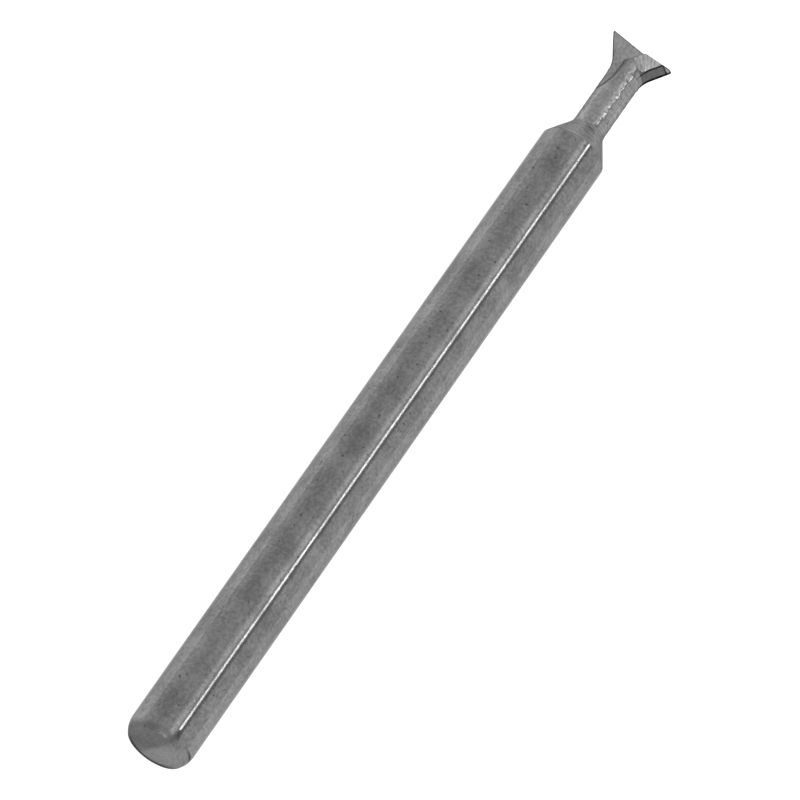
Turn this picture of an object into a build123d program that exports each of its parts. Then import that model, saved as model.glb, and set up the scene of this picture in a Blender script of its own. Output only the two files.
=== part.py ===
from build123d import *
from math import cos, radians, sin, tan
import os

# Two-tooth dovetail end mill, ground from one rod of tungsten carbide.
# The tool lies along X. The origin is the middle of the shank's end face, the
# cutting head points to +X, and both cutting edges lie in the plane Z = 0.
# It cuts turning clockwise, seen from the shank.

# Shank
overall_length = 40.0
shank_diameter = 3.0
end_bevel_depth = 0.22
end_bevel_length = 0.36
end_bevel_outer_round = 1.1
end_bevel_inner_round = 0.06

# Neck, between the shank's shoulder and the head. The reach is from the
# shoulder's start to the cutting end
neck_reach = 6.1
neck_diameter = 1.5
shoulder_half_angle = 30.0
shoulder_fillet = 0.9
head_fillet = 1.7

# Dovetail head
head_diameter = 3.0
dovetail_angle = 60.0
corner_land = 0.1
grinding_stock = 0.08

# Straight flute in front of each tooth, with a gash that opens the centre
web_half_width = 0.42
flute_length = 1.4
flute_wall_lean = 14.0
flute_wheel_radius = 3.5
gash_angle = 33.0
long_tooth_past_centre = 0.17
short_tooth_gap = 0.25

# Narrow land and side clearance behind each flank edge, and the back behind them
side_land_height = 0.18
side_land_angle = 15.0
side_clearance_angle = 35.5
side_clearance_width = 0.34
side_clearance_turn = 25.0
back_slope_angle = 9.0
back_rise_angle = 1.0
back_length = 1.95
back_wheel_corner = 0.7

# Clearance behind the short land at each tooth's corner
land_clearance_angle = 41.0

# End clearance behind each end edge, and the steeper end back behind it
end_dish_angle = 3.0
end_clearance_angle = 12.0
end_clearance_width = 0.18
end_back_angle = 31.0

# How far the ground cuts reach past the blank, into the air
air = 0.4

shank_radius = shank_diameter / 2
neck_radius = neck_diameter / 2
head_radius = head_diameter / 2
flank_half_angle = 90.0 - dovetail_angle
blank_radius = head_radius + grinding_stock
cut_height = blank_radius + air
shank_length = overall_length - neck_reach
flank_start = overall_length - corner_land
shoulder_end = shank_length + (shank_radius - neck_radius) / tan(radians(shoulder_half_angle))
neck_end = flank_start - (blank_radius - neck_radius) / tan(radians(flank_half_angle))

# Ground blank: bevelled shank, coned shoulder, neck and flared head
with BuildPart() as blank:
    with BuildSketch(Plane.XY):
        with BuildLine():
            Polyline(
                (0, 0),
                (0, shank_radius - end_bevel_depth),
                (end_bevel_length, shank_radius),
                (shank_length, shank_radius),
                (shoulder_end, neck_radius),
                (neck_end, neck_radius),
                (flank_start, blank_radius),
                (overall_length + grinding_stock, blank_radius),
                (overall_length + grinding_stock, 0),
                close=True,
            )
        make_face()
        corners = vertices().filter_by_position(Axis.Y, neck_radius, shank_radius).sort_by(Axis.X)
        fillet(corners[0], end_bevel_inner_round)
        fillet(vertices().sort_by_distance((end_bevel_length, shank_radius))[0], end_bevel_outer_round)
        fillet(vertices().sort_by_distance((shoulder_end, neck_radius))[0], shoulder_fillet)
        fillet(vertices().sort_by_distance((neck_end, neck_radius))[0], head_fillet)
    revolve(axis=Axis.X)

# Space in front of each tooth: a flat floor, which is the rake face, and a
# leaning wall that follows the wheel out over the neck. At the end the wall
# turns inward, so that one tooth cuts past the centre and the other stops short
gash_slope = tan(radians(gash_angle))
run_out_start = overall_length - flute_length
run_out_rise = cut_height - web_half_width
run_out_span = (2 * flute_wheel_radius * run_out_rise - run_out_rise**2) ** 0.5
tooth_spaces = []
for wall_at_end in (-long_tooth_past_centre, short_tooth_gap):
    gash_start = overall_length - (web_half_width - wall_at_end) / gash_slope
    with BuildPart() as tooth_space:
        with BuildSketch(Plane.XY):
            with BuildLine():
                RadiusArc(
                    (run_out_start, web_half_width),
                    (run_out_start - run_out_span, cut_height),
                    flute_wheel_radius,
                )
                Polyline(
                    (run_out_start, web_half_width),
                    (gash_start, web_half_width),
                    (overall_length + air, wall_at_end - gash_slope * air),
                    (overall_length + air, cut_height),
                    (run_out_start - run_out_span, cut_height),
                )
            make_face()
        extrude(amount=cut_height, taper=-flute_wall_lean)
    tooth_spaces.append(tooth_space.part)

# Stock ground off behind one flank edge. The land and the facet follow the edge
# down the flank and round the fillet, and end there in a low step
flank_turn = radians(flank_half_angle)
along_edge = Vector(-cos(flank_turn), sin(flank_turn), 0)
across_edge = Vector(sin(flank_turn), cos(flank_turn), 0)
flank_corner = Vector(flank_start, -head_radius, 0)
flank_plane = Plane(origin=flank_corner, x_dir=across_edge, z_dir=-along_edge)
flank_length = (head_radius - neck_radius) / sin(flank_turn)
straight_length = flank_length - head_fillet * tan(flank_turn / 2)
side_land_slope = tan(radians(side_land_angle))
side_land_width = side_land_height * side_land_slope
clearance_slope = tan(radians(side_clearance_angle))
facet_height = side_land_height + (side_clearance_width - side_land_width) / clearance_slope
stock_width = side_land_width + (cut_height - side_land_height) * clearance_slope
with BuildPart() as side_stock:
    with BuildLine():
        straight = Line(flank_corner - along_edge * air, flank_corner + along_edge * straight_length)
        JernArc(straight @ 1, straight % 1, head_fillet, side_clearance_turn)
    with BuildSketch(flank_plane.offset(air)):
        Polygon(
            (-air * side_land_slope, -air),
            (side_land_width, side_land_height),
            (stock_width, cut_height),
            (-air, cut_height),
            (-air, -air),
            align=None,
        )
    sweep()

# Stock ground off the tooth's back, from the facet's inner edge to the web. It
# rises a little toward the neck and runs out there in the wheel's round corner
back_slope = tan(radians(back_slope_angle))
back_path = along_edge + Vector(0, 0, tan(radians(back_rise_angle)))
back_plane = Plane(origin=flank_corner, x_dir=across_edge, z_dir=-back_path)
with BuildPart() as back_stock:
    with BuildSketch(back_plane.offset(air)):
        Polygon(
            (0, facet_height - side_clearance_width * back_slope),
            (head_radius, facet_height + (head_radius - side_clearance_width) * back_slope),
            (head_radius, cut_height),
            (0, cut_height),
            align=None,
        )
    extrude(amount=-back_length - air)
    back_end = back_plane.from_local_coords((head_radius / 2, facet_height, -back_length))
    fillet(edges().sort_by_distance(back_end)[0], back_wheel_corner)

# Stock ground off behind the short land at the tooth's corner
land_slope = tan(radians(land_clearance_angle))
with BuildPart() as land_stock:
    with BuildSketch(Plane.YZ.offset(flank_start - air)):
        with Locations((-head_radius, 0)):
            Polygon(
                (-air * land_slope, -air),
                (cut_height * land_slope, cut_height),
                (-air, cut_height),
                (-air, -air),
                align=None,
            )
    extrude(amount=corner_land + 2 * air)

# Stock ground off behind one end edge, which is dished toward the centre: a
# narrow clearance land, then the steeper end back
dish_turn = radians(end_dish_angle)
end_plane = Plane(
    origin=(overall_length, -head_radius, 0),
    x_dir=(cos(dish_turn), sin(dish_turn), 0),
    z_dir=(sin(dish_turn), -cos(dish_turn), 0),
)
end_land_drop = end_clearance_width * tan(radians(end_clearance_angle))
end_back_drop = (cut_height - end_clearance_width) * tan(radians(end_back_angle))
with BuildPart() as end_stock:
    with BuildSketch(end_plane.offset(air)):
        Polygon(
            (0, 0),
            (-end_land_drop, end_clearance_width),
            (-end_land_drop - end_back_drop, cut_height),
            (air, cut_height),
            (air, 0),
            align=None,
        )
    extrude(amount=-head_radius - web_half_width - air)

# The finished tool: the second tooth is cut half a turn round from the first
with BuildPart() as end_mill:
    add(blank.part)
    for turn, tooth_space in zip((0, 180), tooth_spaces):
        add(tooth_space, rotation=(turn, 0, 0), mode=Mode.SUBTRACT)
        for stock in (side_stock, back_stock, land_stock, end_stock):
            add(stock.part, rotation=(turn, 0, 0), mode=Mode.SUBTRACT)

end_mill.part.label = "end_mill"
os.makedirs("parts", exist_ok=True)
export_step(end_mill.part, "parts/end_mill.step")

print("volume", end_mill.part.volume, "mm3")
print("solids", len(end_mill.solids()), "faces", len(end_mill.faces()))
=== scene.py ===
# %% [markdown]
# # A dovetail end mill, from imported CAD model to studio picture
#
# The tool is one rod of tungsten carbide, 3 mm thick and 40 mm long. A grinding machine first turns the
# rod against a wheel and gives it a bevelled shank, a cone, a thin neck and a flared head. Then other
# wheels cut the two teeth into the head. This script makes the mesh in the same order: a ground blank from
# a Geometry Nodes tree, and then one Boolean for each grinding pass. Each pass leaves its own finish,
# because on a bare metal tool the grinding lines are all that tells one face from the next. The photograph
# shows the faces and not the work, so which wheel made which face is told here as such tools are usually
# made. Some dark lines and faces on the head and the end are painted shade, and a few lighter patches are
# painted light.
#
# The imported CAD model comes in first as a fixed frame. Everything is in metres,
# the tool lies along X, and the middle of the shank's end face is the origin.

# %% Load the frame
from math import acos, atan2, cos, degrees, pi, radians, sin, tan

import bmesh
import bpy
from mathutils import Matrix, Vector


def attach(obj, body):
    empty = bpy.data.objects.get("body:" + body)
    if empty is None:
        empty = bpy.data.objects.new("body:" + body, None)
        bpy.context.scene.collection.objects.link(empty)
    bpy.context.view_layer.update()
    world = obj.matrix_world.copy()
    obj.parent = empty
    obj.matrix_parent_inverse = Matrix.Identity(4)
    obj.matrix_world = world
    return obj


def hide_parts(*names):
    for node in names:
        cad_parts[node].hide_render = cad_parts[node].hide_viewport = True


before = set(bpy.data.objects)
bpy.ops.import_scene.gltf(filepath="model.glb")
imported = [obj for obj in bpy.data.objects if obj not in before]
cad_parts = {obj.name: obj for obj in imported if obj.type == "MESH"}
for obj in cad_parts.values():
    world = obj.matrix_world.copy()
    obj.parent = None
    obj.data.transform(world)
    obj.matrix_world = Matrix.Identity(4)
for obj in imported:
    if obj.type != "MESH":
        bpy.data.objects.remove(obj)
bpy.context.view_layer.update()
scene = bpy.context.scene
MM = 0.001

# %% [markdown]
# ## Three small helpers
#
# Colours are chosen as sRGB hex values, as a paint program shows them, but
# Blender's sockets want linear light, so one function converts them. Material,
# world and geometry trees are all built from the same three steps: make a node,
# set its settings, link or set its inputs. The second function does the three.
# The camera and the lamps are aimed by three directions each, which the third
# function puts into one matrix. A few settings are needed by many nodes, so they
# get short names.

# %% Helpers
def linear(hex_colour):
    """An sRGB hex colour as linear RGBA."""
    channels = [int(hex_colour[i : i + 2], 16) / 255 for i in (0, 2, 4)]
    return [c / 12.92 if c <= 0.04045 else ((c + 0.055) / 1.055) ** 2.4 for c in channels] + [1.0]


def node(tree, kind, settings=None, **inputs):
    """Adds a node. Inputs go by name or by i0, i1, ... and are values or output sockets."""
    made = tree.nodes.new(kind)
    for name, value in (settings or {}).items():
        setattr(made, name, value)
    for name, value in inputs.items():
        by_number = name[0] == "i" and name[1:].isdigit()
        socket = made.inputs[int(name[1:])] if by_number else made.inputs[name.replace("_", " ")]
        if isinstance(value, bpy.types.NodeSocket):
            tree.links.new(value, socket)
        else:
            socket.default_value = value
    return made


DOT = {"operation": "DOT_PRODUCT"}
PLUS = {"operation": "ADD"}
MINUS = {"operation": "SUBTRACT"}
TIMES = {"operation": "MULTIPLY"}
COLOURS = {"data_type": "RGBA"}


def placed(x_axis, y_axis, z_axis, place):
    """The matrix of an object whose own axes point along three given directions."""
    turned = Matrix((x_axis, y_axis, z_axis)).transposed().to_4x4()
    turned.translation = place
    return turned


print("mid grey in linear light:", [round(v, 3) for v in linear("808080")])

# %% [markdown]
# ## The camera
#
# The photograph was taken with a long lens from above and behind the shank. The
# view leans 61 degrees down and is turned 3 degrees round the tool's own axis.
# The picture is then rolled, so that the head points to the upper right. The
# camera's three directions are built from those angles. A camera object looks
# along its own -Z, so the last column of its matrix is the view turned round.

# %% Camera
AXIS_LEAN = 28.4
TURN_ROUND_AXIS = 3.0
ROLL = 35.01
DISTANCE = 353.3 * MM
AIM_ALONG = 17.149
AIM_ACROSS = 0.041
LENS_IN_PICTURES = 8770 / 800
SENSOR = 36.0

lean, turn, roll = radians(AXIS_LEAN), radians(TURN_ROUND_AXIS), radians(ROLL)
view = Vector((sin(lean), -cos(lean) * sin(turn), -cos(lean) * cos(turn)))
along = Vector((cos(lean), sin(lean) * sin(turn), sin(lean) * cos(turn)))
across = view.cross(along)
aim = along * AIM_ALONG * MM + across * AIM_ACROSS * MM
right = along * sin(roll) + across * cos(roll)
up = along * cos(roll) - across * sin(roll)

camera = bpy.data.objects.new("camera", bpy.data.cameras.new("camera"))
scene.collection.objects.link(camera)
camera.matrix_world = placed(right, up, -view, aim - view * DISTANCE)
camera.data.sensor_width = SENSOR
camera.data.lens = SENSOR * LENS_IN_PICTURES
camera.data.clip_start = 0.01
camera.data.clip_end = 20
scene.camera = camera
scene.view_settings.view_transform = "Standard"
elevation = degrees(atan2(-view.z, view.xy.length))
print("lens", round(camera.data.lens, 1), "mm, looking down", round(elevation, 1), "degrees")

# %% [markdown]
# ## The floor
#
# The tool lies on a light table: a sheet of matt white acrylic that also glows
# from below, so that the ground prints as pure white and hardly any shadow
# shows. White paper would need a shadow brushed out by hand. The sheet is flat
# and large, at the height of the shank's lowest line, and gives its glow as
# plain emission.

# %% Floor
FLOOR_HALF = 1.5
FLOOR_Z = -1.5 * MM
ends = (-FLOOR_HALF, FLOOR_HALF)
floor_mesh = bpy.data.meshes.new("floor")
floor_corners = [(x, y, FLOOR_Z) for x, y in zip(ends + ends[::-1], (ends[0],) * 2 + (ends[1],) * 2)]
floor_mesh.from_pydata(floor_corners, [], [(0, 1, 2, 3)])
floor = bpy.data.objects.new("floor", floor_mesh)
scene.collection.objects.link(floor)

# A pure white ground on which hardly any shadow shows.
acrylic = bpy.data.materials.new("glowing matt white acrylic")
acrylic.use_nodes = True
tree = acrylic.node_tree
tree.nodes.clear()
skin = node(
    tree,
    "ShaderNodeBsdfPrincipled",
    Base_Color=linear("A8A8A8"),
    Roughness=0.9,
    Emission_Color=linear("FFFFFF"),
    Emission_Strength=0.85,
)
node(tree, "ShaderNodeOutputMaterial", Surface=skin.outputs[0])
floor_mesh.materials.append(acrylic)
print("floor at", FLOOR_Z / MM, "mm")

# %% [markdown]
# ## The light tent
#
# Ground metal shows its surroundings more than its own colour. A photographer
# puts such a tool in a white tent, so that it reads as an even grey, and lets
# darker gaps stand beside the lamp, so that the white line on the shank has an
# edge. A round bar mirrors the tent as stripes: where a stripe lies on the shank
# depends only on the angle round the tool's axis. So the tent is the world, and
# a colour ramp gives its brightness by that angle. The camera itself sees plain
# white above the floor.

# %% Light tent
# Angle round the tool's axis from the camera's side, in degrees, and brightness.
TENT = (
    (-100, 1.00),
    (-85, 0.96),
    (-72, 0.94),
    (-60, 0.80),
    (-50, 0.76),
    (-40, 0.71),
    (-30, 0.78),
    (-20, 0.82),
    (-12, 0.88),
    (-6, 0.85),
    (0, 0.83),
    (4, 0.99),
    (8, 1.20),
    (12, 1.45),
    (16, 1.50),
    (20, 1.35),
    (24, 0.70),
    (28, 0.50),
    (37, 0.30),
    (41, 0.35),
    (46, 0.95),
    (52, 1.00),
    (100, 1.00),
)
RAMP_SHARE = 0.5
side = Vector((0, sin(turn), cos(turn)))

world = bpy.data.worlds.new("light tent")
world.use_nodes = True
scene.world = world
tree = world.node_tree
tree.nodes.clear()
direction = node(tree, "ShaderNodeTexCoord").outputs["Generated"]
toward = node(tree, "ShaderNodeVectorMath", DOT, i0=direction, i1=side)
beside = node(tree, "ShaderNodeVectorMath", DOT, i0=direction, i1=across)
round_axis = {"operation": "ARCTAN2"}
angle = node(tree, "ShaderNodeMath", round_axis, i0=beside.outputs["Value"], i1=toward.outputs["Value"])
share = node(tree, "ShaderNodeMapRange", Value=angle.outputs[0], From_Min=-pi, From_Max=pi)
ramp = node(tree, "ShaderNodeValToRGB", Fac=share.outputs["Result"])
stops = ramp.color_ramp.elements
while len(stops) < len(TENT):
    stops.new(0.5)
for stop, (degree, brightness) in zip(stops, TENT):
    stop.position = (degree + 180) / 360
    stop.color = [brightness * RAMP_SHARE] * 3 + [1]
seen = node(tree, "ShaderNodeLightPath").outputs["Is Camera Ray"]
plain = [RAMP_SHARE] * 3 + [1]
shown = node(tree, "ShaderNodeMix", COLOURS, i0=seen, i6=ramp.outputs["Color"], i7=plain)
backdrop = node(tree, "ShaderNodeBackground", Color=shown.outputs[2], Strength=1 / RAMP_SHARE)
node(tree, "ShaderNodeOutputWorld", Surface=backdrop.outputs[0])
print(len(TENT), "stripes in the tent")

# %% [markdown]
# ## Two lamps
#
# A narrow lamp parallel to the tool gives the sharp white line. It is 28 mm wide
# at 400 mm, which is only 4 degrees, so a small tilt of the metal loses it: that
# breaks the line on the neck into sparks. A second, soft lamp stands behind the
# shank's end. The tool doesn't mirror it toward the camera, and it only brightens
# the table.

# %% Lamps
def softbox(name, place, target, size, brightness):
    """A rectangular lamp at place, facing target, its long side level with X. Metres."""
    lamp = bpy.data.lights.new(name, "AREA")
    lamp.shape = "RECTANGLE"
    lamp.size, lamp.size_y = size
    lamp.energy = brightness * pi * size[0] * size[1]
    made = bpy.data.objects.new(name, lamp)
    scene.collection.objects.link(made)
    away = (place - target).normalized()
    level = (Vector((1, 0, 0)) - away * away.x).normalized()
    made.matrix_world = placed(level, away.cross(level), away, place)
    made.visible_camera = False
    return made


LINE_ANGLE = radians(31)
LINE_FAR = 0.40
LINE_SIZE = (0.16, 0.028)
TABLE_SIZE = (0.3, 0.3)
MID_TOOL = Vector((0.02, 0, 0))
line_out = side * cos(LINE_ANGLE) + across * sin(LINE_ANGLE)
line_place = MID_TOOL + LINE_FAR * (line_out * cos(lean) + Vector((sin(lean), 0, 0)))
softbox("line lamp", line_place, Vector((line_place.x, 0, 0)), LINE_SIZE, 5.4)
softbox("table lamp", Vector((-0.5, 0.1, 0.5)), MID_TOOL, TABLE_SIZE, 3.0)
print("line lamp at", [round(v, 3) for v in line_place], "m")

# %% [markdown]
# ## What the metal is
#
# Tungsten carbide is a hard grey metal of fine grains held in cobalt. It is
# ground with diamond, never polished, so it is a mirror with a haze: mid grey,
# a little uneven where grains were torn out, with a pit here and there, and
# covered with fine lines that run the way the wheel moved. All the finishes share
# that recipe, and differ in how the lines lie, how coarse they are and how grey
# the face comes out. So one function makes a finish from its lines. An Object
# coordinate, divided by the size of one grinding line, gives a noise that is
# short across the lines and long along them. Real lines are about 0.005 mm wide,
# an eighth of a pixel here, so they are drawn 0.04 to 0.08 mm wide to show.
#
# Where two faces meet, a darker edge is painted in: painted shade for the dark that a tiny rounded edge
# would mirror. A Bevel node rounds the normal there, and comparing that with the true normal finds the
# edge.
# A ground face also loses some of the light that only grazes it, between its
# lines. Principled has a tint for such light, so that is set below white.

# %% One ground finish
# Sizes in mm.
PIT = 0.14  # the few pits where a clump of grains is gone
GRAIN = 0.15  # the patches of torn grains
CLOUD = 1.3  # slow changes of grey
WAVE = 0.5  # slow waves of the surface
LINE_DEPTH = 0.0001  # the depth of one grinding line


def ground_carbide(
    name,
    greys,
    roughness,
    line_size,
    line_share=0.2,
    line_turn=0.0,
    wave_depth=0.0002,
    rim=0.03,
    rim_grey="505050",
    glance=0.62,
):
    """Carbide as one wheel leaves it. Sizes are in mm. line_size is one grinding line's size along X, Y
    and Z, line_share is how much of the grey they make, and line_turn turns them about Z. wave_depth is
    how deep the surface is uneven, rim is the width of the painted edge shade, and glance is how much of
    the light that only grazes the face comes back."""
    finish = bpy.data.materials.new(name)
    finish.use_nodes = True
    tree = finish.node_tree
    tree.nodes.clear()
    place = node(tree, "ShaderNodeTexCoord").outputs["Object"]

    # Both teeth get the same lines: the second is the first, half a turn round.
    mirrored = node(tree, "ShaderNodeVectorMath", {"operation": "ABSOLUTE"}, i0=place).outputs[0]
    laid = node(
        tree,
        "ShaderNodeMapping",
        {"vector_type": "TEXTURE"},
        Vector=mirrored if line_turn else place,
        Rotation=(0, 0, line_turn),
        Scale=[size * MM for size in line_size],
    )
    lines = node(tree, "ShaderNodeTexNoise", Vector=laid.outputs[0], Scale=1.0, Detail=2.0, Roughness=0.65)
    grain = node(
        tree,
        "ShaderNodeTexNoise",
        Vector=place,
        Scale=1 / (GRAIN * MM),
        Detail=2.0,
        Roughness=0.6,
    )
    cloud = node(tree, "ShaderNodeTexNoise", Vector=place, Scale=1 / (CLOUD * MM), Detail=1.0)

    # Painted shade: a dark rim where two faces meet. The ends of the range are cosines of 2 and 10
    # degrees.
    rounded_off = node(tree, "ShaderNodeBevel", {"samples": 4}, Radius=rim * MM).outputs[0]
    true_normal = node(tree, "ShaderNodeNewGeometry").outputs["Normal"]
    alike = node(tree, "ShaderNodeVectorMath", DOT, i0=rounded_off, i1=true_normal)
    edge_shade = node(tree, "ShaderNodeMapRange", Value=alike.outputs["Value"], From_Min=0.9995, From_Max=0.985)

    half = node(tree, "ShaderNodeMix", i0=0.4, i2=grain.outputs[0], i3=cloud.outputs[0])
    uneven = node(tree, "ShaderNodeMix", i0=line_share, i2=half.outputs[0], i3=lines.outputs[0])
    tone = node(tree, "ShaderNodeMapRange", Value=uneven.outputs[0], From_Min=0.38, From_Max=0.62)
    dark, light = linear(greys[0]), linear(greys[1])
    face = node(tree, "ShaderNodeMix", COLOURS, i0=tone.outputs[0], i6=dark, i7=light)
    torn = node(tree, "ShaderNodeTexNoise", Vector=place, Scale=1 / (PIT * MM), Detail=0.0)
    pit = node(tree, "ShaderNodeMapRange", Value=torn.outputs[0], From_Min=0.76, From_Max=0.84, To_Max=0.6)
    pitted = node(
        tree,
        "ShaderNodeMix",
        COLOURS,
        i0=pit.outputs[0],
        i6=face.outputs[2],
        i7=linear("202020"),
    )
    colour = node(
        tree,
        "ShaderNodeMix",
        COLOURS,
        i0=edge_shade.outputs["Result"],
        i6=pitted.outputs[2],
        i7=linear(rim_grey),
    )
    haze = node(
        tree,
        "ShaderNodeMapRange",
        Value=uneven.outputs[0],
        From_Min=0.35,
        From_Max=0.65,
        To_Min=roughness * 1.2,
        To_Max=roughness * 0.8,
    )
    wave = node(tree, "ShaderNodeTexNoise", Vector=place, Scale=1 / (WAVE * MM), Detail=2.0, Roughness=0.6)
    waved = node(
        tree,
        "ShaderNodeBump",
        Height=wave.outputs[0],
        Distance=wave_depth * MM,
        Normal=rounded_off,
    )
    bump = node(
        tree,
        "ShaderNodeBump",
        Height=lines.outputs[0],
        Distance=LINE_DEPTH * MM,
        Normal=waved.outputs[0],
    )
    skin = node(
        tree,
        "ShaderNodeBsdfPrincipled",
        Base_Color=colour.outputs[2],
        Metallic=1.0,
        Roughness=haze.outputs["Result"],
        Specular_Tint=(glance, glance, glance, 1),
        Normal=bump.outputs[0],
    )
    node(tree, "ShaderNodeOutputMaterial", Surface=skin.outputs[0])
    print(name, "has", len(tree.nodes), "nodes")
    return finish


# %% [markdown]
# ## Finishes of the turned faces
#
# The shank runs between two wheels and comes out smoothest, so it mirrors the
# tent as soft stripes and the lamp as one thin line. The cone and the neck are
# cut by the wheel's edge and are duller. Their lines run round the tool, so they
# are short along X and long along Y and Z.

# %% Finishes of the turned faces
SHANK_HAZE = 0.13  # the roughness of the smoothest face
# A thin mirror line, a little uneven, on even grey.
shank_finish = ground_carbide(
    "centreless-ground tungsten carbide",
    ("6E6E6E", "8C8C8C"),
    SHANK_HAZE,
    (0.05, 3, 3),
    line_share=0.1,
    wave_depth=0.003,
)
# A soft grey without a clear reflection.
shoulder_finish = ground_carbide(
    "cone-ground tungsten carbide", ("7A7A7A", "969696"), 0.30, (0.04, 1.5, 1.5), glance=0.4
)
# Lighter, with fine rings. Its ripples break the lamp's line into sparks.
neck_finish = ground_carbide(
    "plunge-ground tungsten carbide",
    ("7E7E7E", "A6A6A6"),
    0.19,
    (0.04, 1.5, 1.5),
    line_share=0.3,
    glance=0.35,
)
# The dullest of the turned faces, an even grey.
end_finish = ground_carbide(
    "face-ground tungsten carbide", ("747474", "888888"), 0.42, (1, 0.04, 2), rim=0.01
)

# %% [markdown]
# ## The shank's end
#
# One half of the end is darker. Where the bevel meets the shank, and along the lower rim, a dark line of
# painted shade stands in for the shadow under the tool that the bevel mirrors. Both could be separate
# faces with their own finishes, but their borders are soft. So masks in the same material are made from
# the place on the tool: the distance to a plane through the axis, the distance from the axis, and the
# place along it. The darker half and the painted shade line then multiply the grey.
# Toward the shank the bevel takes on the shank's own smoothness, because the
# wheel runs out there without a step.

# %% Masks by place
def soft_step(tree, value, start, stop):
    """0 on start's side and 1 on stop's side, both in mm, with a soft border between."""
    step = node(tree, "ShaderNodeMapRange", Value=value, From_Min=start * MM, From_Max=stop * MM)
    return step.outputs["Result"]


def scale_grey(finish, mask, share):
    """Multiplies a finish's grey where the mask is 1. Above 1 it gets lighter."""
    tree = finish.node_tree
    colour = tree.nodes["Principled BSDF"].inputs["Base Color"]
    multiplied = {"data_type": "RGBA", "blend_type": "MULTIPLY"}
    before = colour.links[0].from_socket
    after = node(tree, "ShaderNodeMix", multiplied, i0=mask, i6=before, i7=(share, share, share, 1))
    tree.links.new(after.outputs[2], colour)
    print(finish.name, "has its grey times", share, "in one place")


# %% Two halves and a painted shade line on the end
DARK_HALF = (0, 0.95, 0.31)  # the direction of the darker half's middle
DARK_SIDE = (0, -0.57, -0.82)  # the direction of the painted shade line's middle
HALF_GREY = 0.62  # how much of its grey the darker half keeps
EDGE_SHARE = 0.2  # how much of its grey the painted shade line keeps
tree = end_finish.node_tree
place = node(tree, "ShaderNodeTexCoord").outputs["Object"]
split = node(tree, "ShaderNodeSeparateXYZ", Vector=place)
upper = node(tree, "ShaderNodeVectorMath", DOT, i0=place, i1=DARK_HALF)
lower = node(tree, "ShaderNodeVectorMath", DOT, i0=place, i1=DARK_SIDE)
flat = node(tree, "ShaderNodeVectorMath", TIMES, i0=place, i1=(0, 1, 1))
from_axis = node(tree, "ShaderNodeVectorMath", {"operation": "LENGTH"}, i0=flat.outputs[0])

# Each mask starts and stops at a place in mm, read off the photographed end.
to_shank = soft_step(tree, split.outputs["X"], 0.16, 0.36)
on_end = soft_step(tree, split.outputs["X"], 0.36, 0.16)
on_half = soft_step(tree, upper.outputs["Value"], -0.1, 0.1)
under = soft_step(tree, lower.outputs["Value"], -0.5, 0.3)
ring = soft_step(tree, split.outputs["X"], 0.23, 0.29)
bottom = soft_step(tree, split.outputs["Z"], -0.3, -0.9)
edge = soft_step(tree, from_axis.outputs["Value"], 1.03, 1.15)
# The darker half of the end.
darker_half = node(tree, "ShaderNodeMath", TIMES, i0=on_half, i1=on_end)
# Painted shade: a dark line where the bevel meets the shank and along the lower rim.
outer = node(tree, "ShaderNodeMath", TIMES, i0=under, i1=ring)
inner = node(tree, "ShaderNodeMath", TIMES, i0=bottom, i1=edge)
painted_shade_line = node(tree, "ShaderNodeMath", {"operation": "MAXIMUM"}, i0=outer.outputs[0], i1=inner.outputs[0])
scale_grey(end_finish, darker_half.outputs[0], HALF_GREY)
scale_grey(end_finish, painted_shade_line.outputs[0], EDGE_SHARE)

haze = tree.nodes["Principled BSDF"].inputs["Roughness"]
smoother = node(tree, "ShaderNodeMix", i0=to_shank, i2=haze.links[0].from_socket, i3=SHANK_HAZE)
tree.links.new(smoother.outputs[0], haze)

# %% [markdown]
# ## Finishes of the cut faces
#
# On the head each face is ground by its own pass, and tells itself from the next
# by its grey and by the way its lines run. On the flank they cross the cutting
# edge, which leans 30 degrees, so the pattern is turned by as much.

# %% Finishes of the cut faces
ACROSS_FLANK = pi / 6
# Painted shade: the grey of the dark outline along the head's edges.
EDGE_GREY = "161616"
# A smooth mid grey, with painted shade as a dark outline along its edges.
rake_finish = ground_carbide(
    "rake-ground tungsten carbide",
    ("747474", "929292"),
    0.30,
    (1.5, 0.05, 0.05),
    rim=0.07,
    rim_grey="242424",
)
# Matt, so that it picks up light from the rake face beside it, and painted light grey for more of that
# light.
wall_finish = ground_carbide(
    "flute-ground tungsten carbide", ("929292", "AAAAAA"), 0.55, (1.5, 0.05, 0.05)
)
# Nearly black: painted shade for the dark surroundings that the land mirrors, and so a dark line beside
# the cutting edge.
land_finish = ground_carbide(
    "land-ground tungsten carbide",
    ("262626", "323232"),
    0.40,
    (0.05, 1, 1),
    line_turn=ACROSS_FLANK,
    glance=0.1,
)
# Dark grey and even: painted shade for the dark surroundings that the flank mirrors.
flank_finish = ground_carbide(
    "flank-ground tungsten carbide",
    ("565656", "646464"),
    0.36,
    (0.05, 1, 1),
    line_turn=ACROSS_FLANK,
    rim_grey=EDGE_GREY,
)
# The lightest face, with clear streaks where a coarse wheel swept over it.
back_finish = ground_carbide(
    "back-ground tungsten carbide",
    ("7A7A7A", "A6A6A6"),
    0.36,
    (0.08, 0.8, 0.8),
    line_share=0.5,
    line_turn=1.0,
)
# A light fleck, with painted shade as a dark outline, at the tooth's corner.
corner_finish = ground_carbide(
    "corner-ground tungsten carbide",
    ("8C8C8C", "A0A0A0"),
    0.36,
    (0.05, 1, 1),
    line_turn=ACROSS_FLANK,
    rim=0.11,
    rim_grey=EDGE_GREY,
)
# Dark, painted shade for a thin dark outline to the head.
relief_finish = ground_carbide(
    "end-ground tungsten carbide",
    ("3C3C3C", "4A4A4A"),
    0.34,
    (0.04, 1, 0.04),
    rim_grey=EDGE_GREY,
    glance=0.2,
)

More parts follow.
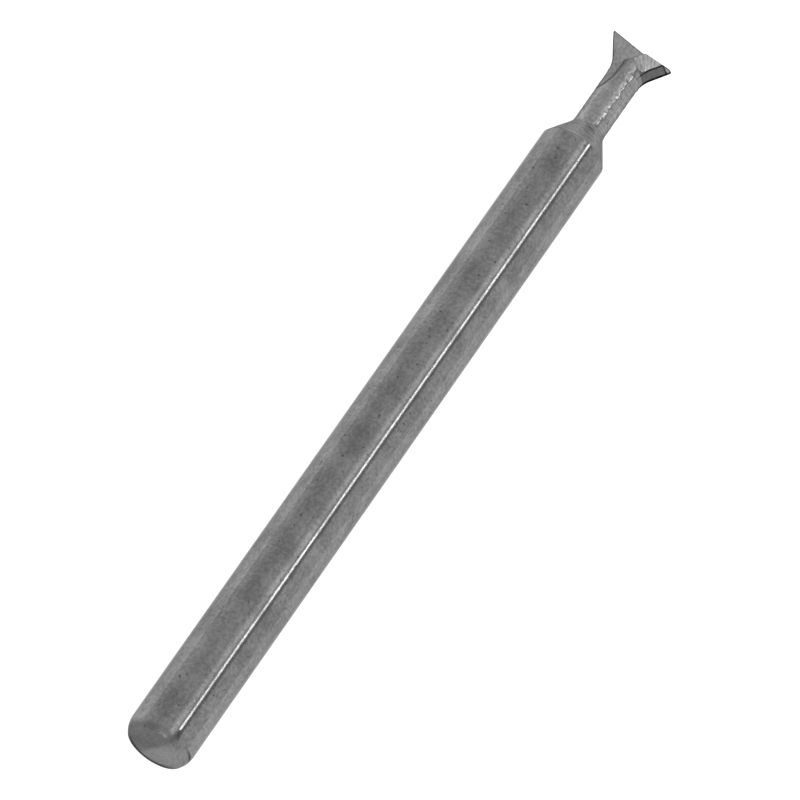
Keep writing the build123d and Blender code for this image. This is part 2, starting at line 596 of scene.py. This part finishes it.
# %% [markdown]
# ## The ground blank
#
# The rod is ground while it turns, so its whole form is one outline spun round
# the axis. It could be modelled as stacked cylinders and cones, but then every
# joint would show. A lathe keeps the bevel, the cone and both fillets in one
# skin. The outline is drawn as corners, each with the radius it is rounded to.
# Blender has no fillet for a drawn line, so a short function puts the arcs in.

# %% The blank's outline
# Sizes in mm, as in the CAD model.
SHANK_R = 1.5
NECK_R = 0.75
LENGTH = 40.0
SHOULDER = 33.9
CORNER_LAND = 0.1
STOCK = 0.08
FLANK = radians(30)
SHOULDER_SLOPE = radians(30)
NECK_FILLET = 1.7
BLANK_R = SHANK_R + STOCK
FLANK_START = LENGTH - CORNER_LAND
NECK_START = SHOULDER + (SHANK_R - NECK_R) / tan(SHOULDER_SLOPE)
NECK_END = FLANK_START - (BLANK_R - NECK_R) / tan(FLANK)
BEVEL_DEPTH, BEVEL_LENGTH = 0.22, 0.36
BEVEL_INNER_ROUND, BEVEL_OUTER_ROUND = 0.06, 1.1
SHOULDER_FILLET = 0.9


def rounded(corners, pieces=10):
    """Points of a line through (x, y, fillet radius) corners, with an arc of short pieces at each."""
    points = []
    for number, (x, y, radius) in enumerate(corners):
        here = Vector((x, y))
        if radius == 0:
            points.append(here)
            continue
        back = (Vector(corners[number - 1][:2]) - here).normalized()
        ahead = (Vector(corners[number + 1][:2]) - here).normalized()
        half = back.angle(ahead) / 2
        centre = here + (back + ahead).normalized() * radius / sin(half)
        start = here + back * radius / tan(half) - centre
        sweep = start.angle_signed(here + ahead * radius / tan(half) - centre)
        for step in range(pieces + 1):
            points.append(centre + Matrix.Rotation(-sweep * step / pieces, 2) @ start)
    return points


outline = rounded(
    [
        (0, 0, 0),
        (0, SHANK_R - BEVEL_DEPTH, BEVEL_INNER_ROUND),
        (BEVEL_LENGTH, SHANK_R, BEVEL_OUTER_ROUND),
        (SHOULDER, SHANK_R, 0),
        (NECK_START, NECK_R, SHOULDER_FILLET),
        (NECK_END, NECK_R, NECK_FILLET),
        (FLANK_START, BLANK_R, 0),
        (LENGTH + STOCK, BLANK_R, 0),
        (LENGTH + STOCK, 0, 0),
    ]
)
print(len(outline), "outline points, neck from", round(NECK_START, 2), "to", round(NECK_END, 2), "mm")

# %% [markdown]
# ## Stations for the ripples
#
# The thin neck is probably plunge ground: the wheel goes straight in and chatters
# a little, which leaves ripples. A photograph can't give their height, so it was
# chosen by how they break the lamp's line: most lie within 0.006 mm of the neck's
# radius. They are real shape here, not bump, so the outline is cut into short
# steps where they are.

# %% Outline as a curve, finer where the ripples are
RIPPLE_FROM, RIPPLE_TO, RIPPLE_STEP = SHOULDER + 0.02, 39.2, 0.025
SHANK_STEP = 3.0

stations = []
for before, after in zip(outline, outline[1:]):
    fine = before.x >= SHOULDER and after.x <= RIPPLE_TO
    count = max(1, round((after - before).length / (RIPPLE_STEP if fine else SHANK_STEP)))
    stations += [before.lerp(after, step / count) for step in range(count)]
stations.append(outline[-1])

drawn = bpy.data.curves.new("blank outline", "CURVE")
drawn.dimensions = "3D"
line = drawn.splines.new("POLY")
line.points.add(len(stations) - 1)
for point, station in zip(line.points, stations):
    point.co = (station.y * MM, -station.x * MM, 0, 1)
blank = bpy.data.objects.new("blank", drawn)
scene.collection.objects.link(blank)
print(len(stations), "stations along the blank")

# %% [markdown]
# ## A lathe with grinding ripples, in Geometry Nodes
#
# The ripples follow a rule, so they belong in the tree that spins the outline.
# The tree sweeps the outline round a circle of almost no radius, merges the
# poles, turns the result onto X, and moves each point in or out by a noise that
# is shorter along the tool than round it. The noise could go from 0 to 1 but
# mostly stays between 0.3 and 0.7, so the ripples use less than half of the depth
# that is put in. The tree then gives the end with its bevel, the shank, the
# shoulder and the neck their four finishes, by how far along the tool a face is.

# %% The lathe's inputs
lathe = bpy.data.node_groups.new("lathe with grinding ripples", "GeometryNodeTree")
lathe.interface.new_socket("Outline", in_out="INPUT", socket_type="NodeSocketGeometry")
for name, kind, value in (
    ("Segments", "NodeSocketInt", 160),
    ("Ripple depth", "NodeSocketFloat", 0.03 * MM),
    ("Ripple width", "NodeSocketFloat", 0.18 * MM),
    ("Ripple length", "NodeSocketFloat", 0.25 * MM),
    ("Ripples from", "NodeSocketFloat", RIPPLE_FROM * MM),
    ("Ripples to", "NodeSocketFloat", RIPPLE_TO * MM),
    ("Ripple fade", "NodeSocketFloat", 0.3 * MM),
    ("Seed", "NodeSocketFloat", 7.0),
    ("End face to", "NodeSocketFloat", BEVEL_LENGTH * MM),
    ("Shank to", "NodeSocketFloat", SHOULDER * MM),
    ("Shoulder to", "NodeSocketFloat", NECK_START * MM),
    ("End finish", "NodeSocketMaterial", end_finish),
    ("Shank finish", "NodeSocketMaterial", shank_finish),
    ("Shoulder finish", "NodeSocketMaterial", shoulder_finish),
    ("Neck finish", "NodeSocketMaterial", neck_finish),
):
    lathe.interface.new_socket(name, in_out="INPUT", socket_type=kind).default_value = value
lathe.interface.new_socket("Blank", in_out="OUTPUT", socket_type="NodeSocketGeometry")
given = node(lathe, "NodeGroupInput").outputs
print(len(given) - 1, "inputs")

# %% The lathe's spin
NO_RADIUS = 1e-9  # m
POLE_GAP = 1e-6  # m, points nearer than this are one pole
circle = node(
    lathe,
    "GeometryNodeCurvePrimitiveCircle",
    Resolution=given["Segments"],
    Radius=NO_RADIUS,
)
swept = node(lathe, "GeometryNodeCurveToMesh", Curve=circle.outputs[0], Profile_Curve=given["Outline"])
merged = node(lathe, "GeometryNodeMergeByDistance", Geometry=swept.outputs[0], Distance=POLE_GAP)
upright = node(lathe, "GeometryNodeTransform", Geometry=merged.outputs[0], Rotation=(0, pi / 2, 0))
print(len(lathe.nodes), "nodes spin the outline")

# %% The lathe's ripples
place = node(lathe, "GeometryNodeInputPosition").outputs[0]
x_place = node(lathe, "ShaderNodeSeparateXYZ", Vector=place).outputs["X"]
flat = node(lathe, "ShaderNodeVectorMath", TIMES, i0=place, i1=(0, 1, 1))
outward = node(lathe, "ShaderNodeVectorMath", {"operation": "NORMALIZE"}, i0=flat.outputs[0])
ripple_size = node(
    lathe,
    "ShaderNodeCombineXYZ",
    X=given["Ripple width"],
    Y=given["Ripple length"],
    Z=given["Ripple length"],
)
divided = {"operation": "DIVIDE"}
stretched = node(lathe, "ShaderNodeVectorMath", divided, i0=place, i1=ripple_size.outputs[0])
waves = node(
    lathe,
    "ShaderNodeTexNoise",
    {"noise_dimensions": "4D"},
    Vector=stretched.outputs[0],
    W=given["Seed"],
    Scale=1.0,
    Detail=0.0,
)
centred = node(lathe, "ShaderNodeMath", MINUS, i0=waves.outputs[0], i1=0.5)
deep = node(lathe, "ShaderNodeMath", TIMES, i0=centred.outputs[0], i1=given["Ripple depth"])
fade_end = node(lathe, "ShaderNodeMath", PLUS, i0=given["Ripples from"], i1=given["Ripple fade"])
fade_start = node(lathe, "ShaderNodeMath", MINUS, i0=given["Ripples to"], i1=given["Ripple fade"])
smooth = {"interpolation_type": "SMOOTHSTEP"}
fade_in = node(
    lathe,
    "ShaderNodeMapRange",
    smooth,
    Value=x_place,
    From_Min=given["Ripples from"],
    From_Max=fade_end.outputs[0],
)
fade_out = node(
    lathe,
    "ShaderNodeMapRange",
    smooth,
    Value=x_place,
    From_Min=given["Ripples to"],
    From_Max=fade_start.outputs[0],
)
faded = node(lathe, "ShaderNodeMath", TIMES, i0=fade_in.outputs[0], i1=fade_out.outputs[0])
shift = node(lathe, "ShaderNodeMath", TIMES, i0=deep.outputs[0], i1=faded.outputs[0])
scaled = {"operation": "SCALE"}
offset = node(lathe, "ShaderNodeVectorMath", scaled, i0=outward.outputs[0], Scale=shift.outputs[0])
rippled = node(lathe, "GeometryNodeSetPosition", Geometry=upright.outputs[0], Offset=offset.outputs[0])
print("ripple depth", round(lathe.interface.items_tree["Ripple depth"].default_value / MM, 4), "mm")

# %% The lathe's finishes
less = {"data_type": "FLOAT", "operation": "LESS_THAN"}
on_shank = node(lathe, "FunctionNodeCompare", less, A=x_place, B=given["Shank to"])
on_shoulder = node(lathe, "FunctionNodeCompare", less, A=x_place, B=given["Shoulder to"])
on_end = node(lathe, "FunctionNodeCompare", less, A=x_place, B=given["End face to"])
real = node(lathe, "GeometryNodeRealizeInstances", Geometry=rippled.outputs[0])
neck_set = node(lathe, "GeometryNodeSetMaterial", Geometry=real.outputs[0], Material=given["Neck finish"])
shoulder_set = node(
    lathe,
    "GeometryNodeSetMaterial",
    Geometry=neck_set.outputs[0],
    Selection=on_shoulder.outputs[0],
    Material=given["Shoulder finish"],
)
shank_set = node(
    lathe,
    "GeometryNodeSetMaterial",
    Geometry=shoulder_set.outputs[0],
    Selection=on_shank.outputs[0],
    Material=given["Shank finish"],
)
end_set = node(
    lathe,
    "GeometryNodeSetMaterial",
    Geometry=shank_set.outputs[0],
    Selection=on_end.outputs[0],
    Material=given["End finish"],
)
node(lathe, "NodeGroupOutput", i0=end_set.outputs[0])
print(len(lathe.nodes), "nodes in the lathe")

# %% Run the lathe
def made_mesh(source, name):
    """The mesh of an object with its modifiers run, as a new plain object."""
    mesh = bpy.data.meshes.new_from_object(source.evaluated_get(bpy.context.evaluated_depsgraph_get()))
    made = bpy.data.objects.new(name, mesh)
    scene.collection.objects.link(made)
    return made


blank.modifiers.new("lathe", "NODES").node_group = lathe
turned = made_mesh(blank, "turned_blank")
bpy.data.objects.remove(blank)
heal = bmesh.new()
heal.from_mesh(turned.data)
bmesh.ops.recalc_face_normals(heal, faces=heal.faces)
open_edges = sum(not edge.is_manifold for edge in heal.edges)
print(len(heal.faces), "faces,", open_edges, "open edges,", round(heal.calc_volume() / MM**3, 2), "mm3")
heal.to_mesh(turned.data)
heal.free()

# %% [markdown]
# ## One cutter for each grinding pass
#
# A grinding wheel takes away a block of metal, and what it leaves is the block's
# skin. So each pass is a closed solid, lofted through a few sections, and a
# Boolean subtracts it. Every side of a cutter carries the finish that its wheel
# leaves, and the Boolean hands it on to the new face. Modelling the teeth face
# by face would need every crossing worked out by hand, and this way they follow
# from the passes, as they do on the machine.

# %% A cutter
AIR = 0.4  # mm, how far a cutter reaches past the blank
CUT_TOP = BLANK_R + AIR


def cutter(name, sections, sides, base):
    """A closed solid through sections, which are rings of points in mm. sides holds a finish
    for each side, the one that ends at that corner, and base is the two end faces' finish."""
    finishes = list(dict.fromkeys([base, *sides]))
    work = bmesh.new()
    rings = [[work.verts.new(Vector(point) * MM) for point in section] for section in sections]
    for near, far in zip(rings, rings[1:]):
        for k, finish in enumerate(sides):
            face = work.faces.new((near[k - 1], near[k], far[k], far[k - 1]))
            face.material_index = finishes.index(finish)
    for ring in (rings[0], rings[-1]):
        work.faces.new(ring)
    bmesh.ops.recalc_face_normals(work, faces=work.faces)
    mesh = bpy.data.meshes.new(name)
    work.to_mesh(mesh)
    work.free()
    for finish in finishes:
        mesh.materials.append(finish)
    made = bpy.data.objects.new(name, mesh)
    scene.collection.objects.link(made)
    return made


print("cutters reach", AIR, "mm past a blank of radius", BLANK_R, "mm")

# %% [markdown]
# ## The tooth spaces
#
# In front of each tooth a wheel opens a space. Its floor is the rake face, where
# the chip slides, and lies exactly on the tool's axis plane. Its wall leans, runs
# straight past the web and then lifts out over the neck in the wheel's own round.
# At the end a gash turns the wall inward, deeper on one side, so that one tooth
# cuts past the centre and the tool can plunge.

# %% Tooth spaces
WEB = 0.42
FLUTE_LENGTH = 1.4
RUN_OUT_R = 3.5
RUN_OUT_START = LENGTH - FLUTE_LENGTH
RUN_OUT_PIECES = 30
PAST_CENTRE = 0.17
SHORT_GAP = 0.25
WALL_LEAN = tan(radians(14))
GASH = tan(radians(33))


def grown(plan, distance):
    """A closed plan with every side moved outward by distance."""
    moved = []
    for k, here in enumerate(plan):
        before = (here - plan[k - 1]).normalized()
        after = (plan[(k + 1) % len(plan)] - here).normalized()
        normal = Vector((before.y + after.y, -before.x - after.x)).normalized()
        moved.append(here + normal * distance / normal.dot(Vector((before.y, -before.x))))
    return moved


def tooth_space(name, wall_at_end):
    """The space in front of a tooth, with a wall that leans and runs out over the neck."""
    whole_turn = acos(1 - (CUT_TOP - WEB) / RUN_OUT_R)
    turns = [whole_turn * k / RUN_OUT_PIECES for k in range(RUN_OUT_PIECES, -1, -1)]
    plan = [Vector((RUN_OUT_START - RUN_OUT_R * sin(t), WEB + RUN_OUT_R * (1 - cos(t)))) for t in turns]
    plan.append(Vector((LENGTH - (WEB - wall_at_end) / GASH, WEB)))
    plan.append(Vector((LENGTH + AIR, wall_at_end - GASH * AIR)))
    plan.append(Vector((LENGTH + AIR, CUT_TOP)))
    floor_section = [(p.x, p.y, 0) for p in plan]
    top_section = [(p.x, p.y, CUT_TOP) for p in grown(plan, WALL_LEAN * CUT_TOP)]
    return cutter(name, (floor_section, top_section), [wall_finish] * len(plan), rake_finish)


long_space = tooth_space("long_tooth_space", -PAST_CENTRE)
short_space = tooth_space("short_tooth_space", SHORT_GAP)
print("wall's run-out:", RUN_OUT_PIECES, "pieces")

# %% [markdown]
# ## Behind the flank's cutting edge
#
# A cutting edge only cuts if the metal behind it falls away. Behind the flank lies a narrow land, 0.18 mm
# high, and then a steeper clearance. The wheel follows the edge down the flank and round the fillet, so
# this cutter is swept: the same section is set at points along the edge, turned with it. The land is
# painted nearly black, and so is a strip below the clearance's top edge: painted shade for the dark that
# these faces mirror. The strip is a side of its own in the section, with its own finish.

# %% Side clearance
down_flank = Vector((-cos(FLANK), sin(FLANK), 0))
into_tooth = Vector((sin(FLANK), cos(FLANK), 0))
flank_corner = Vector((FLANK_START, -SHANK_R, 0))
up_z = Vector((0, 0, 1))
straight = (SHANK_R - NECK_R) / sin(FLANK) - NECK_FILLET * tan(FLANK / 2)
LAND_HEIGHT = 0.18
LAND_SLOPE = tan(radians(15))
FACET_WIDTH = 0.34
FACET_SLOPE = tan(radians(35.5))
LAND_WIDTH = LAND_HEIGHT * LAND_SLOPE
FACET_TOP = LAND_HEIGHT + (FACET_WIDTH - LAND_WIDTH) / FACET_SLOPE
STRIP = 0.06  # mm, the height of the dark strip
STRIP_OVER = 0.01  # mm, how far the strip's side reaches past the top edge
SIDE_TURN = radians(25)
TURN_PIECES = 12

side_section = (
    (-AIR * LAND_SLOPE, -AIR),
    (LAND_WIDTH, LAND_HEIGHT),
    (FACET_WIDTH - STRIP * FACET_SLOPE, FACET_TOP - STRIP),
    (FACET_WIDTH + STRIP_OVER * FACET_SLOPE, FACET_TOP + STRIP_OVER),
    (LAND_WIDTH + (CUT_TOP - LAND_HEIGHT) * FACET_SLOPE, CUT_TOP),
    (-AIR, CUT_TOP),
    (-AIR, -AIR),
)
path = [(flank_corner - down_flank * AIR, into_tooth), (flank_corner + down_flank * straight, into_tooth)]
arc_centre = path[1][0] - into_tooth * NECK_FILLET
for k in range(1, TURN_PIECES + 1):
    inward = Matrix.Rotation(SIDE_TURN * k / TURN_PIECES, 3, "Z") @ into_tooth
    path.append((arc_centre + inward * NECK_FILLET, inward))
side_sections = [[point + inward * u + up_z * v for u, v in side_section] for point, inward in path]
side_finishes = [flank_finish, land_finish, flank_finish, land_finish] + [flank_finish] * 3
print("facet top", round(FACET_TOP, 3), "mm above the edge")

# %% [markdown]
# ## The tooth's back
#
# From the top of the clearance to the web the back rises only 9 degrees, so it
# faces the camera and the lamp and is the brightest face of the head. It ends
# toward the neck in the round corner of its wheel.

# %% Back
BACK_LENGTH = 1.95
BACK_ROUND = 0.7
BACK_SLOPE = radians(9)
BACK_RISE = tan(radians(1))
back_way = (down_flank + up_z * BACK_RISE).normalized()
edge_way = into_tooth * cos(BACK_SLOPE) + up_z * sin(BACK_SLOPE)
back_up = edge_way.cross(back_way)
assert back_up.z > 0, "the back's cutter would point down"
back_plan = rounded(
    [
        (-AIR, 0, 0),
        (BACK_LENGTH, 0, BACK_ROUND),
        (BACK_LENGTH, CUT_TOP, 0),
        (-AIR, CUT_TOP, 0),
    ]
)
back_from = flank_corner + into_tooth * FACET_WIDTH + up_z * FACET_TOP
back_sections = [
    [back_from + edge_way * w + back_way * q.x + back_up * q.y for q in back_plan]
    for w in (-FACET_WIDTH / cos(BACK_SLOPE), SHANK_R)
]
print(len(back_plan), "points in the back's section")

# %% [markdown]
# ## The tooth's corner and its end
#
# The outermost corner of each tooth is a land only 0.1 mm long, with its own
# clearance behind it. The end edge is dished 3 degrees toward the centre, with a
# narrow land and a steeper back. A Boolean between faces that lie exactly in one
# plane can leave a skin with no thickness, so a thin extra block trims the blank
# off in front of each end edge.

# %% Corner and end
CORNER_SLOPE = tan(radians(41))
corner_section = (
    (-AIR * CORNER_SLOPE, -AIR),
    (CUT_TOP * CORNER_SLOPE, CUT_TOP),
    (-AIR, CUT_TOP),
    (-AIR, -AIR),
)
corner_sections = [
    [(x, -SHANK_R + y, z) for y, z in corner_section] for x in (FLANK_START - AIR, LENGTH + AIR)
]

DISH = radians(3)
END_LAND = 0.18
LAND_DROP = END_LAND * tan(radians(12))
END_BACK = radians(31)
BACK_DROP = LAND_DROP + (CUT_TOP - END_LAND) * tan(END_BACK)
TRIM = 0.05
end_out = Vector((cos(DISH), sin(DISH), 0))
end_way = Vector((-sin(DISH), cos(DISH), 0))
end_corner = Vector((LENGTH, -SHANK_R, 0))
end_section = ((0, 0), (-LAND_DROP, END_LAND), (-BACK_DROP, CUT_TOP), (AIR, CUT_TOP), (AIR, 0))
trim_section = ((0, -AIR / 2), (0, TRIM), (AIR, TRIM), (AIR, -AIR / 2))


def along_end(section, start, stop):
    """A section set at two places along the end edge."""
    return [[end_corner + end_way * w + end_out * u + up_z * v for u, v in section] for w in (start, stop)]


end_sections = along_end(end_section, -AIR, SHANK_R + WEB)
trim_sections = along_end(trim_section, -AIR, SHANK_R / cos(DISH))
print("end falls", round(BACK_DROP, 2), "mm behind the edge")

# %% [markdown]
# ## Painted shade lines and painted light on the head
#
# Where the flank and the corner end, a thin dark line of painted shade is put, and on the tip of the
# corner too. The dark edge from the Bevel node is too thin to show on such a small face, so these lines
# are masks by place. Low on the fillet the dark faces are painted lighter, and so is the back in its round
# corner: painted light where these faces curve. The absolute value of a place is the same on both teeth,
# as one is the other turned half way round.

# %% Painted shade lines and painted light
LINE_WIDE = 0.05  # mm
LINE_SOFT = 0.02  # mm, the soft border of a line
SHADE_LINE_SHARE = 0.12  # how much of its grey a painted shade line keeps
FLANK_LINE = 39.66  # mm along the tool, where the flank's painted shade line starts
TIP_HEIGHT = 0.11  # mm, up to here the tip has painted shade
PAINTED_LIGHT_TO = 38.60  # mm along the tool, up to here the flank and the land are painted lighter
FLANK_PAINTED_LIGHT, LAND_PAINTED_LIGHT, BACK_PAINTED_LIGHT = 2.2, 6.0, 1.5  # how much lighter each is painted there, as painted light
BACK_SOFT = 0.3  # mm, over which the back turns lighter
out_of_end = Vector((cos(DISH), -sin(DISH), 0))
back_normal = out_of_end * cos(END_BACK) + up_z * sin(END_BACK)
back_place = back_normal.dot(Vector((LENGTH, SHANK_R, END_LAND)) - out_of_end * LAND_DROP)
down_back = Vector((-cos(FLANK), -sin(FLANK), 0))
round_corner = down_back.dot(Vector((FLANK_START, SHANK_R, 0))) + BACK_LENGTH - BACK_ROUND
# Painted shade lines on the flank and the corner, and painted light low on the fillet and in the back's
# round corner.
for finish, way, start, soft, share in (
    (flank_finish, (1, 0, 0), FLANK_LINE, LINE_SOFT, SHADE_LINE_SHARE),
    (corner_finish, back_normal, back_place - LINE_WIDE, LINE_SOFT, SHADE_LINE_SHARE),
    (corner_finish, (0, 0, -1), -TIP_HEIGHT, LINE_SOFT, SHADE_LINE_SHARE),
    (flank_finish, (-1, 0, 0), -PAINTED_LIGHT_TO, LINE_SOFT, FLANK_PAINTED_LIGHT),
    (land_finish, (-1, 0, 0), -PAINTED_LIGHT_TO, LINE_SOFT, LAND_PAINTED_LIGHT),
    (back_finish, down_back, round_corner, BACK_SOFT, BACK_PAINTED_LIGHT),
):
    tree = finish.node_tree
    place = node(tree, "ShaderNodeTexCoord").outputs["Object"]
    on_tooth = node(tree, "ShaderNodeVectorMath", {"operation": "ABSOLUTE"}, i0=place)
    far = node(tree, "ShaderNodeVectorMath", DOT, i0=on_tooth.outputs[0], i1=way)
    scale_grey(finish, soft_step(tree, far.outputs["Value"], start, start + soft), share)

# %% [markdown]
# ## Grind the teeth
#
# The second tooth is the first one turned half way round the axis, so every pass
# but the tooth spaces is used twice. The Manifold solver is the fast one for
# closed meshes, and it keeps the result closed. Transfer makes the new faces
# take the cutters' finishes.

# %% Grind
passes = [(long_space, 0), (short_space, pi)]
for half_turn in (0, pi):
    for name, sections, finishes in (
        ("side", side_sections, side_finishes),
        ("back", back_sections, [back_finish] * len(back_plan)),
        ("corner", corner_sections, [corner_finish] * len(corner_section)),
        ("trim", trim_sections, [relief_finish] * len(trim_section)),
        ("end", end_sections, [relief_finish] * len(end_section)),
    ):
        passes.append((cutter(name, sections, finishes, finishes[0]), half_turn))

for tool, half_turn in passes:
    tool.data.transform(Matrix.Rotation(half_turn, 4, "X"))
    cut = turned.modifiers.new(tool.name, "BOOLEAN")
    cut.operation = "DIFFERENCE"
    cut.solver = "MANIFOLD"
    cut.material_mode = "TRANSFER"
    cut.object = tool
end_mill = made_mesh(turned, "ground_end_mill")
for spent in (turned, *(tool for tool, _ in passes)):
    bpy.data.objects.remove(spent)
print(len(passes), "passes leave", len(end_mill.data.polygons), "faces")
print("finishes:", [finish.name for finish in end_mill.data.materials])

# %% [markdown]
# ## Sharp edges and a closed skin
#
# Ground faces meet in sharp edges, but the ripples and fillets are smooth. So each edge is marked by its
# own angle. The last lines count open edges and print the volume.

# %% Edges
SHARP = radians(15)
SLIVER = 2e-7  # m, points nearer than this are one
shape = bmesh.new()
shape.from_mesh(end_mill.data)
bmesh.ops.remove_doubles(shape, verts=shape.verts, dist=SLIVER)
for edge in shape.edges:
    edge.smooth = len(edge.link_faces) == 2 and edge.calc_face_angle(0) < SHARP
for face in shape.faces:
    face.smooth = True
open_edges = sum(not edge.is_manifold for edge in shape.edges)
print(len(shape.faces), "faces,", open_edges, "open edges,", round(shape.calc_volume() / MM**3, 2), "mm3")
shape.to_mesh(end_mill.data)
shape.free()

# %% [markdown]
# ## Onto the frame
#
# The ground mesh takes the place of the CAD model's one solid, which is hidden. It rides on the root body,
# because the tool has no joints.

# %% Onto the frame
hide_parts("end_mill")
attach(end_mill, "root")
print("end mill rides on root")
